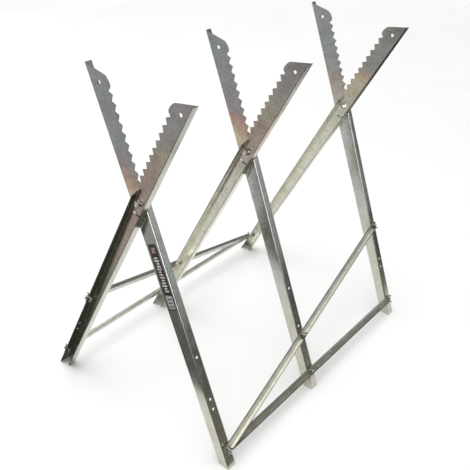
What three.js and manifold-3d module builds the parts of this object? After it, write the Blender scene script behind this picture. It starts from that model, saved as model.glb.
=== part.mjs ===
// Folding log sawhorse: three crossed frames of bent galvanised sheet in a row.
// The left side and the right side are each one rigid set of three legs and two braces,
// and they fold against each other about the three pivot bolts.
// Millimetres, +Z up, the row of frames along Y, the floor at z = 0.
import * as THREE from 'three';
import { mergeVertices } from 'three/addons/utils/BufferGeometryUtils.js';
import Module from 'manifold-3d';

const wasm = await Module();
wasm.setup();

const rad = THREE.MathUtils.degToRad;

// ---- stance ----
const HALF_ANGLE = rad(25.4); // each leg leans this far from vertical
const PIVOT_HEIGHT = 550;
const FRAME_Y = [-365.5, -38.5, 365.5]; // contact planes of the front, middle and rear crosses
const CONTACT_GAP = 0.6; // between the two webs of a cross
const GAP = 0.3; // between pieces that touch
const FOOT_REACH = 700; // legs are made this long, then cut level at the floor

// ---- bent sheet of a leg ----
const SHEET = 1.5;
const BEND = 2.6; // outside radius of a fold
const BEND_STEPS = 3;
const LONG_FACE = 24; // outer face of the long flange, from the leg axis
const LONG_DEPTH = 19.5;
const LONG_DEPTH_TOP = 16.3;
const ARM_LENGTH = 265; // top of the long flange above the pivot
const SHORT_FACE = -13.5; // outer face of the short flange level with the pivot
const SHORT_SLOPE = -13 / 609; // the fold runs towards the axis down the leg
const SHORT_DEPTH = 14.6;
const SHORT_DEPTH_SLOPE = -9.3 / 609;
const SHORT_TOP = 28; // top of the short flange at its fold
const SHORT_TOP_FREE = 16.6; // and at its free edge

// ---- toothed arm plate ----
const TOOTH_COUNT = 10;
const TOOTH_PITCH = 18.05;
const FIRST_TIP = 36;
const TIP_FACE = -22.6;
const VALLEY_FACE = -14.4;
const VALLEY_ABOVE_TIP = 8.2;
const HEAD_NOSE = [[-22.2, 211.2], [-23.6, 214], [-24, 217.5], [-23.6, 222], [-22.2, 227]];
const HEAD_BROW = [[-20.4, 231.4], [-18.6, 234]];
const PLATE_INNER = 20;
const TOP_HOLE = { across: 1.5, up: 225, radius: 3.8 };

// ---- pivot ----
const PIVOT_RADIUS = 4;
const PIVOT_WASHER = { radius: 8.5, thick: 1.6 };
const PIVOT_HEAD = { flats: 13, thick: 5.3 };
const PIVOT_NUT = { flats: 13, thick: 6.5 };
const PIVOT_TAIL = 3.2; // thread showing past the nut

// ---- opening stop: a lug on the right leg rides in a slot of the left leg ----
const SLOT_RADIUS = 28;
const SLOT_WIDTH = 4.2;
const SLOT_FROM = rad(-5);
const SLOT_TO = rad(45.3);
const SLOT_STEPS = 12;
const LUG_ANGLE = rad(6);
const LUG_RADIUS = 1.7;
const LUG_PROUD = 3.4;

// ---- braces ----
const BRACE_FACE = 15;
const BRACE_LIP = 9.5;
const BRACE_BEND = 2.4;
const BRACE_END = 10; // past the centre of the end bolts
const LIP_RELIEF = { free: 14, shared: 18 }; // the lip stops this far from each end
const BRACE_HOLE = 3.3;
const SPARE_HOLE = 2.6; // unused holes, measured along the row from the front bolt
const SPARE_LOWER = [422];
const SPARE_DIAGONAL = [420, 565];
const LOW_HOLE = -560; // distances along the short fold from pivot level
const HIGH_HOLE = -335;
const LOW_HOLE_DEPTH = 11.6; // distances back from the contact plane
const MID_HOLE_DEPTH = 10.8;
const HIGH_HOLE_DEPTH = 9.9;

// ---- brace fasteners ----
const BOLT_RADIUS = 3;
const BOLT_HEAD = { flats: 10, thick: 4 };
const BOLT_TAIL = 9.5; // thread from the brace face to the tip
const WING_HUB = { base: 5.4, top: 4.6, height: 6 };
const WING_THICK = 2;
const WING_EAR = [
  [3.8, 1.2], [5.4, 1.5], [7.8, 3.6], [10, 6.4], [10.8, 8.8],
  [10.4, 10.3], [9.1, 10.9], [7.7, 10.2], [6.1, 7.3], [3.8, 5.2],
];

// How far each wing nut stopped from lying along its brace, in degrees: the low bolt away from the
// diagonal, the low middle bolt, the shared low bolt, the diagonal's high end and its middle.
const LEFT_WING_TURNS = [90, 12, 80, 98, -9];
const RIGHT_WING_TURNS = [97, -10, 105, 90, 14];

// ---- generic label on the front right leg ----
const LABEL = { top: -83, bottom: -224, middle: 6, width: 22, gap: 0.15, thick: 0.2 };

const zinc = new THREE.MeshStandardMaterial({ color: 0x9da2a0, roughness: 0.32, metalness: 0.9 });
const plating = new THREE.MeshStandardMaterial({ color: 0xb4b2a8, roughness: 0.28, metalness: 0.95 });
const labelFilm = new THREE.MeshStandardMaterial({ color: 0x26282b, roughness: 0.55, metalness: 0 });

const shortFace = (up) => SHORT_FACE + SHORT_SLOPE * up;
const shortDepth = (up) => SHORT_DEPTH + SHORT_DEPTH_SLOPE * up;
const longDepth = (up) => LONG_DEPTH - (Math.max(up, 0) / ARM_LENGTH) * (LONG_DEPTH - LONG_DEPTH_TOP);
const FOLD_TILT = Math.atan(-SHORT_SLOPE);

// ---- solids ----
function toSolid(geometry) {
  const bare = geometry.clone();
  bare.deleteAttribute('normal');
  bare.deleteAttribute('uv');
  const merged = mergeVertices(bare, 1e-5);
  const vertProperties = new Float32Array(merged.attributes.position.array);
  const triVerts = new Uint32Array(merged.index.array);
  return new wasm.Manifold(new wasm.Mesh({ numProp: 3, vertProperties, triVerts }));
}

function toMesh(name, solid, material) {
  const { vertProperties, triVerts } = solid.getMesh();
  const indexed = new THREE.BufferGeometry();
  indexed.setAttribute('position', new THREE.BufferAttribute(new Float32Array(vertProperties), 3));
  indexed.setIndex(new THREE.BufferAttribute(new Uint32Array(triVerts), 1));
  const geometry = indexed.toNonIndexed();
  geometry.computeVertexNormals();
  const mesh = new THREE.Mesh(geometry, material);
  mesh.name = name;
  return mesh;
}

// A closed body through matching rings of points, each ring at its own height.
function loft(stations) {
  const count = stations[0].ring.length;
  const positions = [];
  for (const { up, ring } of stations) {
    for (const [x, y] of ring) positions.push(x, y, up);
  }
  const index = [];
  for (let s = 0; s + 1 < stations.length; s += 1) {
    for (let i = 0; i < count; i += 1) {
      const a = s * count + i;
      const b = s * count + ((i + 1) % count);
      index.push(a, b, b + count, a, b + count, a + count);
    }
  }
  const contour = stations[0].ring.map(([x, y]) => new THREE.Vector2(x, y));
  const last = (stations.length - 1) * count;
  for (const [a, b, c] of THREE.ShapeUtils.triangulateShape(contour, [])) {
    index.push(c, b, a, a + last, b + last, c + last);
  }
  const geometry = new THREE.BufferGeometry();
  geometry.setAttribute('position', new THREE.BufferAttribute(new Float32Array(positions), 3));
  geometry.setIndex(index);
  return toSolid(geometry);
}

// A flat outline drawn in (first, second) axes and pushed out along the third.
function prism(outline, length, place) {
  const shape = new THREE.Shape(outline.map(([x, y]) => new THREE.Vector2(x, y)));
  const geometry = new THREE.ExtrudeGeometry(shape, { depth: length, bevelEnabled: false });
  geometry.applyMatrix4(place);
  return toSolid(geometry);
}

const standing = new THREE.Matrix4().makeRotationX(Math.PI / 2); // outline in X-Z, runs to -Y
const sideways = new THREE.Matrix4().makeBasis(
  new THREE.Vector3(0, 1, 0),
  new THREE.Vector3(0, 0, 1),
  new THREE.Vector3(1, 0, 0),
); // outline in Y-Z, runs to +X

// A rod along Y between two stations.
function rodY(radius, from, to, x, z, sides = 20) {
  const geometry = new THREE.CylinderGeometry(radius, radius, to - from, sides);
  geometry.translate(x, (from + to) / 2, z);
  return toSolid(geometry);
}

// A rod along X between two stations.
function rodX(radius, from, to, y, z, sides = 20) {
  const geometry = new THREE.CylinderGeometry(radius, radius, to - from, sides);
  geometry.rotateZ(Math.PI / 2);
  geometry.translate((from + to) / 2, y, z);
  return toSolid(geometry);
}

// Points of a quarter bend about a centre, between two directions in degrees.
function bend(cx, cy, radius, from, to) {
  const points = [];
  for (let i = 0; i <= BEND_STEPS; i += 1) {
    const angle = rad(from + ((to - from) * i) / BEND_STEPS);
    points.push([cx + radius * Math.cos(angle), cy + radius * Math.sin(angle)]);
  }
  return points;
}

// ---- leg: web against the contact plane, flanges pointing to -Y ----
function channelRing(up) {
  const left = shortFace(up);
  const right = LONG_FACE;
  const inner = BEND - SHEET;
  return [
    [left, -shortDepth(up)],
    [left + SHEET, -shortDepth(up)],
    ...bend(left + BEND, -BEND, inner, 180, 90),
    ...bend(right - BEND, -BEND, inner, 90, 0),
    [right - SHEET, -longDepth(up)],
    [right, -longDepth(up)],
    ...bend(right - BEND, -BEND, BEND, 0, 90),
    ...bend(left + BEND, -BEND, BEND, 90, 180),
  ];
}

function angleRing(up) {
  const right = LONG_FACE;
  return [
    [PLATE_INNER - BEND, -SHEET],
    ...bend(right - BEND, -BEND, BEND - SHEET, 90, 0),
    [right - SHEET, -longDepth(up)],
    [right, -longDepth(up)],
    ...bend(right - BEND, -BEND, BEND, 0, 90),
    [PLATE_INNER - BEND, 0],
  ];
}

function armOutline() {
  const points = [[PLATE_INNER, SHORT_TOP_FREE], [SHORT_FACE + BEND, SHORT_TOP_FREE]];
  points.push([SHORT_FACE + BEND, SHORT_TOP - SHEET], [VALLEY_FACE, SHORT_TOP - SHEET]);
  for (let i = 0; i < TOOTH_COUNT; i += 1) {
    const tip = FIRST_TIP + i * TOOTH_PITCH;
    points.push([TIP_FACE, tip], [VALLEY_FACE, tip + VALLEY_ABOVE_TIP]);
  }
  points.push(...HEAD_NOSE, ...HEAD_BROW, [PLATE_INNER, topEdge(PLATE_INNER)]);
  return points.reverse();
}

// Height of the sloping top edge of the arm at a distance across it.
function topEdge(across) {
  const [browAcross, browUp] = HEAD_BROW[HEAD_BROW.length - 1];
  return browUp + ((across - browAcross) * (ARM_LENGTH - browUp)) / (LONG_FACE - browAcross);
}

function legCutters() {
  const reach = LONG_FACE - SHEET;
  const cornerCut = prism(
    [[-LONG_FACE, topEdge(-LONG_FACE)], [reach, topEdge(reach)], [reach, ARM_LENGTH + SHEET],
      [-LONG_FACE, ARM_LENGTH + SHEET]],
    LONG_DEPTH * 2,
    standing,
  ).translate([0, LONG_DEPTH / 2, 0]);
  const slope = (SHORT_TOP - SHORT_TOP_FREE) / SHORT_DEPTH;
  const deep = SHORT_DEPTH + SHEET;
  const flangeEnd = prism(
    [[-deep, SHORT_TOP - slope * deep], [-SHEET, SHORT_TOP - slope * SHEET], [-SHEET, SHORT_TOP + SHEET],
      [-deep, SHORT_TOP + SHEET]],
    BEND + SHEET,
    sideways,
  ).translate([shortFace(SHORT_TOP) - SHEET, 0, 0]);
  const floor = new THREE.BoxGeometry(FOOT_REACH, FOOT_REACH, FOOT_REACH);
  floor.translate(0, 0, -FOOT_REACH / 2 - PIVOT_HEIGHT);
  floor.rotateY(-HALF_ANGLE);
  return [cornerCut, flangeEnd, toSolid(floor)];
}

function legHoles(middleHoles) {
  const through = SHEET * 2;
  const holes = [
    rodY(PIVOT_RADIUS + GAP, -through, SHEET, 0, 0, 28),
    rodY(TOP_HOLE.radius, -through, SHEET, TOP_HOLE.across, TOP_HOLE.up),
  ];
  const rows = [[LOW_HOLE, LOW_HOLE_DEPTH], [HIGH_HOLE, HIGH_HOLE_DEPTH]];
  for (const up of middleHoles) rows.push([up, MID_HOLE_DEPTH]);
  for (const [along, depth] of rows) {
    const hole = rodX(BRACE_HOLE, -through, through + SHEET, -depth, along);
    holes.push(hole.rotate([0, THREE.MathUtils.radToDeg(-FOLD_TILT), 0]).translate([SHORT_FACE, 0, 0]));
  }
  return holes;
}

function stopSlot() {
  const points = [];
  const half = SLOT_WIDTH / 2;
  for (const [radius, from, to] of [[SLOT_RADIUS + half, SLOT_FROM, SLOT_TO],
    [SLOT_RADIUS - half, SLOT_TO, SLOT_FROM]]) {
    for (let i = 0; i <= SLOT_STEPS; i += 1) {
      const angle = from + ((to - from) * i) / SLOT_STEPS;
      points.push([radius * Math.sin(angle), -radius * Math.cos(angle)]);
    }
  }
  let slot = prism(points, SHEET * 3, standing).translate([0, SHEET, 0]);
  for (const angle of [SLOT_FROM, SLOT_TO]) {
    const x = SLOT_RADIUS * Math.sin(angle);
    slot = slot.add(rodY(half, -SHEET * 2, SHEET, x, -SLOT_RADIUS * Math.cos(angle)));
  }
  return slot;
}

function stopLug() {
  const x = SLOT_RADIUS * Math.sin(LUG_ANGLE);
  return rodY(LUG_RADIUS, -SHEET / 2, LUG_PROUD, x, -SLOT_RADIUS * Math.cos(LUG_ANGLE), 16);
}

function legSolid(middleHoles) {
  const channel = loft([-FOOT_REACH, 0, SHORT_TOP].map((up) => ({ up, ring: channelRing(up) })));
  const angle = loft([0, ARM_LENGTH].map((up) => ({ up, ring: angleRing(up) })));
  let leg = channel.add(angle).add(prism(armOutline(), SHEET, standing));
  for (const cutter of [...legCutters(), ...legHoles(middleHoles)]) leg = leg.subtract(cutter);
  return leg;
}

// ---- braces: face in the Y-Z plane at x = 0, lip pointing to -X along the lower edge ----
// The left braces are the same strips turned end for end, which puts their lip on the upper edge.
function braceSolid(length, holes, spares, lipUp) {
  const low = -BRACE_FACE / 2;
  const outline = [
    [-SHEET, -low],
    ...bend(-BRACE_BEND, low + BRACE_BEND, BRACE_BEND - SHEET, 0, -90),
    [-BRACE_LIP, low + SHEET],
    [-BRACE_LIP, low],
    ...bend(-BRACE_BEND, low + BRACE_BEND, BRACE_BEND, -90, 0),
    [0, -low],
  ];
  let brace = prism(outline, length, standing).translate([0, length - BRACE_END, 0]);
  const ends = [[-BRACE_END, LIP_RELIEF.free], [length - BRACE_END, LIP_RELIEF.shared]];
  for (const [end, reach] of ends) {
    const relief = new THREE.BoxGeometry(BRACE_LIP, reach * 2, BRACE_FACE);
    relief.translate(-SHEET - BRACE_LIP / 2, end, 0);
    brace = brace.subtract(toSolid(relief));
  }
  if (lipUp) brace = brace.mirror([0, 0, 1]);
  for (const along of holes) brace = brace.subtract(rodX(BRACE_HOLE, -SHEET * 2, SHEET, along, 0));
  for (const along of spares) brace = brace.subtract(rodX(SPARE_HOLE, -SHEET * 2, SHEET, along, 0, 14));
  return brace;
}

// ---- fasteners: rods along -X from the inner face of the flange ----
function hexSolid(flats, thick) {
  const geometry = new THREE.CylinderGeometry(flats / Math.sqrt(3), flats / Math.sqrt(3), thick, 6);
  return toSolid(geometry);
}

function braceBoltSolid(tip) {
  const head = hexSolid(BOLT_HEAD.flats, BOLT_HEAD.thick).rotate([0, 0, 90]);
  const seat = SHEET + GAP;
  return head.translate([seat + BOLT_HEAD.thick / 2, 0, 0]).add(rodX(BOLT_RADIUS, -tip, seat + SHEET, 0, 0));
}

function wingNutSolid() {
  const { base, top, height } = WING_HUB;
  const hub = new THREE.CylinderGeometry(top, base, height, 24);
  hub.translate(0, height / 2, 0);
  let nut = toSolid(hub);
  for (const side of [1, -1]) {
    const outline = WING_EAR.map(([out, up]) => [side * out, up]);
    if (side < 0) outline.reverse();
    const lift = new THREE.Matrix4().makeTranslation(0, 0, -WING_THICK / 2);
    nut = nut.add(prism(outline, WING_THICK, lift));
  }
  const bore = new THREE.CylinderGeometry(BOLT_RADIUS + GAP, BOLT_RADIUS + GAP, height * 4, 20);
  return nut.subtract(toSolid(bore)).rotate([0, 0, 90]);
}

function washerSolid() {
  const { radius, thick } = PIVOT_WASHER;
  return rodY(radius, 0, thick, 0, 0, 32).subtract(rodY(PIVOT_RADIUS + GAP, -thick, thick * 2, 0, 0, 24));
}

function pivotNutSolid() {
  const nut = hexSolid(PIVOT_NUT.flats, PIVOT_NUT.thick).translate([0, PIVOT_NUT.thick / 2, 0]);
  const reach = PIVOT_NUT.thick * 2;
  return nut.subtract(rodY(PIVOT_RADIUS + GAP, -reach, reach, 0, 0, 24));
}

// ---- assembly ----
const WEB_OUT = CONTACT_GAP / 2 + SHEET; // from the contact plane to the outside of a web
const WASHER_IN = WEB_OUT + GAP;
const CLAMP = WASHER_IN + PIVOT_WASHER.thick + GAP;

function placeAt(mesh, parent, x, y, z) {
  mesh.position.set(x, y, z);
  parent.add(mesh);
  return mesh;
}

function addPivot(parent, station, y) {
  const tail = CLAMP + PIVOT_NUT.thick + PIVOT_TAIL;
  const head = hexSolid(PIVOT_HEAD.flats, PIVOT_HEAD.thick).translate([0, -CLAMP - PIVOT_HEAD.thick / 2, 0]);
  const bolt = head.add(rodY(PIVOT_RADIUS, -CLAMP - SHEET, tail, 0, 0, 24));
  const washer = washerSolid();
  placeAt(toMesh(`pivot_bolt_${station}`, bolt, plating), parent, 0, y, PIVOT_HEIGHT);
  const front = y - WASHER_IN - PIVOT_WASHER.thick;
  placeAt(toMesh(`pivot_head_washer_${station}`, washer, plating), parent, 0, front, PIVOT_HEIGHT);
  placeAt(toMesh(`pivot_nut_washer_${station}`, washer, plating), parent, 0, y + WASHER_IN, PIVOT_HEIGHT);
  placeAt(toMesh(`pivot_nut_${station}`, pivotNutSolid(), plating), parent, 0, y + CLAMP, PIVOT_HEIGHT);
}

// Row positions, in the side's own frame, of the hole at a given depth in each leg.
function holeRow(planes, depths) {
  return planes.map((plane, i) => plane - depths[i]);
}

function sideLayout(planes) {
  const legPlanes = planes.map((y) => y - CONTACT_GAP / 2);
  const low = holeRow(legPlanes, [LOW_HOLE_DEPTH, LOW_HOLE_DEPTH, LOW_HOLE_DEPTH]);
  const slant = holeRow(legPlanes, [HIGH_HOLE_DEPTH, MID_HOLE_DEPTH, LOW_HOLE_DEPTH]);
  const share = (slant[1] - slant[0]) / (slant[2] - slant[0]);
  const middle = HIGH_HOLE + share * (LOW_HOLE - HIGH_HOLE);
  return { legPlanes, low, slant, middle };
}

function addFastener(plate, names, y, along, outer, spin) {
  placeAt(toMesh(names.bolt, braceBoltSolid(outer + BOLT_TAIL), plating), plate, 0, y, along);
  const nut = placeAt(toMesh(names.nut, wingNutSolid(), plating), plate, -outer - GAP, y, along);
  nut.rotation.x = spin;
}

function addBraces(side, plate, low, slant) {
  const isLeft = side.name === 'left';
  const spare = (reach, along) => (isLeft ? along : reach - along);
  const reach = low[2] - low[0];
  const lowHoles = low.map((y) => y - low[0]);
  const lowSpares = SPARE_LOWER.map((along) => spare(reach, along));
  const lower = braceSolid(reach + BRACE_END * 2, lowHoles, lowSpares, isLeft);
  const lowerBar = toMesh(`${side.name}_lower_brace`, lower, zinc);
  const stack = SHEET + GAP; // where the two braces share a bolt one lies over the other
  const lowerLift = isLeft ? stack : 0;
  lowerBar.rotation.z = Math.atan(lowerLift / reach);
  placeAt(lowerBar, plate, -GAP, low[0], LOW_HOLE);

  const run = slant[2] - slant[0];
  const drop = LOW_HOLE - HIGH_HOLE;
  const span = Math.hypot(run, drop);
  const slantHoles = slant.map((y) => ((y - slant[0]) * span) / run);
  const slantSpares = SPARE_DIAGONAL.map((along) => (spare(run, along) * span) / run);
  const diagonal = braceSolid(span + BRACE_END * 2, slantHoles, slantSpares, isLeft);
  const slantBar = toMesh(`${side.name}_diagonal_brace`, diagonal, zinc);
  const slantLift = isLeft ? 0 : stack;
  slantBar.rotation.set(Math.atan2(drop, run), 0, Math.atan(slantLift / span), 'XYZ');
  placeAt(slantBar, plate, -GAP, slant[0], HIGH_HOLE);
  const at = (y, start, length) => (y - start) / length;
  return {
    slope: Math.atan2(drop, run),
    lowOuter: low.map((y) => GAP + SHEET + lowerLift * at(y, low[0], reach)),
    slantOuter: slant.map((y) => GAP + SHEET + slantLift * at(y, slant[0], run)),
  };
}

function addSide(side, stations, planes, middleHoles) {
  const { legPlanes, low, slant, middle } = sideLayout(planes);
  let leg = legSolid(middleHoles);
  leg = side.name === 'left' ? leg.subtract(stopSlot()) : leg.add(stopLug());
  legPlanes.forEach((y, i) => {
    const mesh = toMesh(`${side.name}_leg_${stations[i]}`, leg, zinc);
    mesh.rotation.y = HALF_ANGLE;
    placeAt(mesh, side.group, 0, y, PIVOT_HEIGHT);
  });

  const plate = new THREE.Group(); // outer faces of the short flanges
  plate.position.set(SHORT_FACE * Math.cos(HALF_ANGLE), 0, PIVOT_HEIGHT - SHORT_FACE * Math.sin(HALF_ANGLE));
  plate.rotation.y = HALF_ANGLE - FOLD_TILT;
  side.group.add(plate);

  const { slope, lowOuter, slantOuter } = addBraces(side, plate, low, slant);
  const names = (row, i) => ({
    bolt: `${side.name}_${row}_bolt_${stations[i]}`,
    nut: `${side.name}_${row}_wing_nut_${stations[i]}`,
  });
  const [lowFar, lowMiddle, lowShared, slantHigh, slantMiddle] = side.wingTurns.map(rad);
  addFastener(plate, names('low', 0), low[0], LOW_HOLE, lowOuter[0], lowFar);
  addFastener(plate, names('low', 1), low[1], LOW_HOLE, lowOuter[1], lowMiddle);
  addFastener(plate, names('low', 2), low[2], LOW_HOLE, Math.max(lowOuter[2], slantOuter[2]), lowShared);
  addFastener(plate, names('high', 0), slant[0], HIGH_HOLE, slantOuter[0], slope + slantHigh);
  addFastener(plate, names('mid', 1), slant[1], middle, slantOuter[1], slope + slantMiddle);
}

function addLabel(group, y) {
  const lean = new THREE.Group();
  lean.rotation.y = HALF_ANGLE;
  lean.position.set(0, y - CONTACT_GAP / 2, PIVOT_HEIGHT);
  const { top, bottom, middle, width, gap, thick } = LABEL;
  const film = toSolid(new THREE.BoxGeometry(width, thick, top - bottom));
  placeAt(toMesh('label', film, labelFilm), lean, middle, gap + thick / 2, (top + bottom) / 2);
  group.add(lean);
}

export function sawhorse() {
  const model = new THREE.Group();
  model.name = 'folding_sawhorse';
  const left = { name: 'left', group: new THREE.Group(), wingTurns: LEFT_WING_TURNS };
  const right = { name: 'right', group: new THREE.Group(), wingTurns: RIGHT_WING_TURNS };
  right.group.rotation.z = Math.PI; // the right side is the left side turned about the vertical
  const leftPlanes = FRAME_Y;
  const rightPlanes = FRAME_Y.map((y) => -y).reverse();
  const middleHoles = [leftPlanes, rightPlanes].map((planes) => sideLayout(planes).middle);
  addSide(left, ['front', 'middle', 'rear'], leftPlanes, middleHoles);
  addSide(right, ['rear', 'middle', 'front'], rightPlanes, middleHoles);
  addLabel(right.group, rightPlanes[2]);
  ['front', 'middle', 'rear'].forEach((station, i) => addPivot(model, station, FRAME_Y[i]));
  model.add(left.group, right.group);
  return model;
}

export default sawhorse();
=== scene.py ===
"""Looks for the folding sawhorse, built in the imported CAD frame. Lengths are millimetres until a mesh
is finished, when it is scaled to metres."""

import math

import bmesh
import bpy
from mathutils import Matrix, Vector
from mathutils.geometry import delaunay_2d_cdt


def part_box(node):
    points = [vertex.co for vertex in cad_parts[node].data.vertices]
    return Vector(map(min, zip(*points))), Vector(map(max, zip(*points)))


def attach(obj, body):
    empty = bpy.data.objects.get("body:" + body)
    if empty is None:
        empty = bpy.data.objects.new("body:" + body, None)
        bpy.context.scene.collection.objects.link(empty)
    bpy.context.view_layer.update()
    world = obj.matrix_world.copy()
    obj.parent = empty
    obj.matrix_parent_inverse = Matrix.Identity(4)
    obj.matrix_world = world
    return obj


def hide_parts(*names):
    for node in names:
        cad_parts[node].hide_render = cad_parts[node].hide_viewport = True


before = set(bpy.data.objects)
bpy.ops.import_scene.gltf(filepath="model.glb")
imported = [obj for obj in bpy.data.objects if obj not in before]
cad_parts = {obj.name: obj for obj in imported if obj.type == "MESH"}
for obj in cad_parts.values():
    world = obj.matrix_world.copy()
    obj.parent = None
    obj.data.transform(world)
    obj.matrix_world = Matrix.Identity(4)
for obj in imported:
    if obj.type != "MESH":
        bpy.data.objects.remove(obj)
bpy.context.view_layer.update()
MM = 0.001
QUARTER = math.pi / 2

# ---- sizes shared with the CAD ----
HALF_ANGLE = math.radians(25.4)
SHEET = 1.5
BEND = 2.6
GAP = 0.3
CONTACT_GAP = 0.6
LONG_FACE = 24.0
LONG_DEPTH = 19.5
LONG_DEPTH_TOP = 16.3
ARM_LENGTH = 265.0
SHORT_FACE = -13.5
SHORT_SLOPE = -13 / 609
SHORT_DEPTH = 14.6
SHORT_DEPTH_SLOPE = -9.3 / 609
SHORT_TOP = 28.0
SHORT_TOP_FREE = 16.6
FOLD_TILT = math.atan(-SHORT_SLOPE)
TOOTH_COUNT = 10
TOOTH_PITCH = 18.05
FIRST_TIP = 36.0
TIP_FACE = -22.6
VALLEY_FACE = -14.4
VALLEY_ABOVE_TIP = 8.2
HEAD_NOSE = [(-22.2, 211.2), (-23.6, 214), (-24, 217.5), (-23.6, 222), (-22.2, 227)]
HEAD_BROW = [(-20.4, 231.4), (-18.6, 234)]
SLOT_RADIUS = 28.0
SLOT_WIDTH = 4.2
BRACE_FACE = 15.0
BRACE_LIP = 9.5
BRACE_BEND = 2.4
BRACE_END = 10.0
LIP_RELIEF_FREE = 14.0
LIP_RELIEF_SHARED = 18.0
LOW_HOLE = -560.0
HIGH_HOLE = -335.0
LOW_HOLE_DEPTH = 11.6
MID_HOLE_DEPTH = 10.8
HIGH_HOLE_DEPTH = 9.9
SPARE_LOWER = [422.0]
SPARE_DIAGONAL = [420.0, 565.0]
BOLT_HOLE = 3.3
SPARE_HOLE = 2.6
PIVOT_HOLE = 4.3
TOP_HOLE = (1.5, 225.0, 3.8)
SLOT_START = math.radians(-5)
SLOT_END = math.radians(45.3)
LUG_ANGLE = math.radians(6)
LUG_RADIUS = 1.7
BRACE_BOLT_RADIUS = 3.0
BRACE_HEAD_FLATS = 10.0
BRACE_HEAD_DEPTH = 4.0
BOLT_TAIL = 9.5
PIVOT_RADIUS = 4.0
PIVOT_FLATS = 13.0
PIVOT_HEAD_DEPTH = 5.3
PIVOT_NUT_DEPTH = 6.5
PIVOT_TAIL = 9.7
PIVOT_TURNS = {"front": 0.35, "middle": 0.9, "rear": 0.1}
WASHER = 1.6
LABEL_MIDDLE = 6.0
LABEL_WIDTH = 22.0
LABEL_LOW = -224.0
LABEL_HIGH = -83.0
STATIONS = ["front", "middle", "rear"]
LEFT_WING_TURNS = [90, 12, 80, 98, -9]
RIGHT_WING_TURNS = [97, -10, 105, 90, 14]


def mm(v):
    return Vector(v) / MM


def centre(node):
    low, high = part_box(node)
    return mm((low + high) / 2)


PIVOT_HEIGHT = centre("pivot_bolt_front").z
PLANES = [mm(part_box(f"left_leg_{s}")[1]).y + CONTACT_GAP / 2 for s in STATIONS]


# ---- materials ----
def material(name, metallic=1.0):
    mat = bpy.data.materials.new(name)
    mat.use_nodes = True
    nodes = mat.node_tree.nodes
    shader = nodes["Principled BSDF"]
    shader.inputs["Metallic"].default_value = metallic
    return mat, nodes, mat.node_tree.links, shader


def feed(links, socket, value):
    """Sets a socket to a number or a colour, or links another socket to it."""
    if isinstance(value, (int, float, tuple)):
        socket.default_value = value
    else:
        links.new(value, socket)


def maths(nodes, links, operation, *values, clamp=False):
    node = nodes.new("ShaderNodeMath")
    node.operation = operation
    node.use_clamp = clamp
    for socket, value in zip(node.inputs, values):
        feed(links, socket, value)
    return node.outputs["Value"]


def dot_with(nodes, links, vector, direction):
    """The dot product of a vector socket and a fixed direction."""
    node = nodes.new("ShaderNodeVectorMath")
    node.operation = "DOT_PRODUCT"
    node.inputs[1].default_value = direction
    links.new(vector, node.inputs[0])
    return node.outputs["Value"]


def part_of(nodes, links, vector, axis):
    node = nodes.new("ShaderNodeSeparateXYZ")
    links.new(vector, node.inputs["Vector"])
    return node.outputs[axis]


def noise(nodes, links, coords, scale, detail=4.0, rough=0.55):
    tex = nodes.new("ShaderNodeTexNoise")
    tex.inputs["Scale"].default_value = scale
    tex.inputs["Detail"].default_value = detail
    tex.inputs["Roughness"].default_value = rough
    links.new(coords, tex.inputs["Vector"])
    return tex.outputs["Fac"]


def ramp(nodes, links, value, stops):
    """A colour ramp. stops: (position, colour) in any order, two at least."""
    node = nodes.new("ShaderNodeValToRGB")
    elements = node.color_ramp.elements
    elements[0].position, elements[0].color = stops[0]
    elements[1].position, elements[1].color = stops[1]
    for position, colour in stops[2:]:
        elements.new(position).color = colour
    links.new(value, node.inputs["Fac"])
    return node.outputs["Color"]


def grey(level):
    return (level, level, level, 1)


def span(nodes, links, value, low, high):
    node = nodes.new("ShaderNodeMapRange")
    node.inputs["To Min"].default_value = low
    node.inputs["To Max"].default_value = high
    links.new(value, node.inputs["Value"])
    return node.outputs["Result"]


def share_of(nodes, links, value, start, end):
    """How far value is from start to end, 0 to 1."""
    node = nodes.new("ShaderNodeMapRange")
    node.inputs["From Min"].default_value = start
    node.inputs["From Max"].default_value = end
    links.new(value, node.inputs["Value"])
    return node.outputs["Result"]


def mix(nodes, links, kind, factor, a, b):
    node = nodes.new("ShaderNodeMix")
    node.data_type = "RGBA"
    node.blend_type = kind
    for socket, value in (("Factor", factor), ("A", a), ("B", b)):
        feed(links, node.inputs[socket], value)
    return node.outputs["Result"]


def bump(nodes, links, height, strength, distance, under=None):
    node = nodes.new("ShaderNodeBump")
    node.inputs["Strength"].default_value = strength
    node.inputs["Distance"].default_value = distance
    links.new(height, node.inputs["Height"])
    if under:
        links.new(under, node.inputs["Normal"])
    return node.outputs["Normal"]


def edge_mask(nodes, links, radius):
    """White along worn edges: where a rounded normal leaves the true one."""
    rounded = nodes.new("ShaderNodeBevel")
    rounded.samples = 4
    rounded.inputs["Radius"].default_value = radius
    flat = nodes.new("ShaderNodeNewGeometry")
    dot = nodes.new("ShaderNodeVectorMath")
    dot.operation = "DOT_PRODUCT"
    links.new(rounded.outputs["Normal"], dot.inputs[0])
    links.new(flat.outputs["True Normal"], dot.inputs[1])
    return ramp(nodes, links, dot.outputs["Value"], [(0.80, grey(1)), (0.985, grey(0))])


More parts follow.
